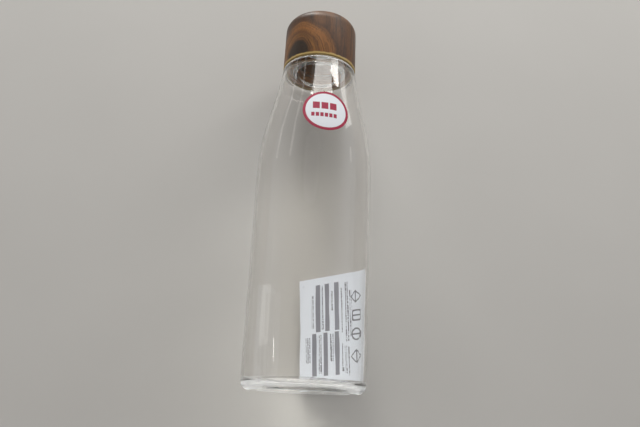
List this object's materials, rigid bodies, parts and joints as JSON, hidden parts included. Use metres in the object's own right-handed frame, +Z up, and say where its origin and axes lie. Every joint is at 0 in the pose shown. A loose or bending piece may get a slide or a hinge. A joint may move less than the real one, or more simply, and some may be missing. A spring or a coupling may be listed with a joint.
{
  "type": "glass water bottle",
  "caption": "Clear glass water bottle with a long sloping shoulder, a base push-up and a deep wood-grain screw cap with liner and sealing ring.",
  "frame": {"origin": "centre of the ring that the bottle stands on", "axes": "+Z up along the bottle's axis to the cap, -Y towards the front, where the sticker is, +X to the right seen from the front"},
  "size_m": [0.065, 0.065, 0.2194],
  "materials": {
    "glass": "blown, clear",
    "wood_grain": "printed wood grain under gloss lacquer",
    "liner": "moulded",
    "silicone": "soft satin",
    "sticker": "coated label",
    "card": "smooth card"
  },
  "bodies": {
    "bottle": {"glass_body": "glass", "price_sticker": "sticker", "info_card": "card"},
    "seal": {"seal_ring": "silicone"},
    "cap": {"cap_shell": "wood_grain", "cap_liner": "liner"}
  },
  "joints": [
    {"name": "cap_lift", "type": "slide", "parent": "bottle", "child": "seal", "axis": [0, 0, 1], "range_m": [0, 0.005]},
    {"name": "cap_turn", "type": "hinge", "parent": "seal", "child": "cap", "pos_m": [0, 0, 0.19], "axis": [0, 0, 1], "range_deg": [0, 450]}
  ],
  "couplings": [
    {"joint": "cap_lift", "follows": "cap_turn", "m_per_rad": 0.00063661}
  ]
}
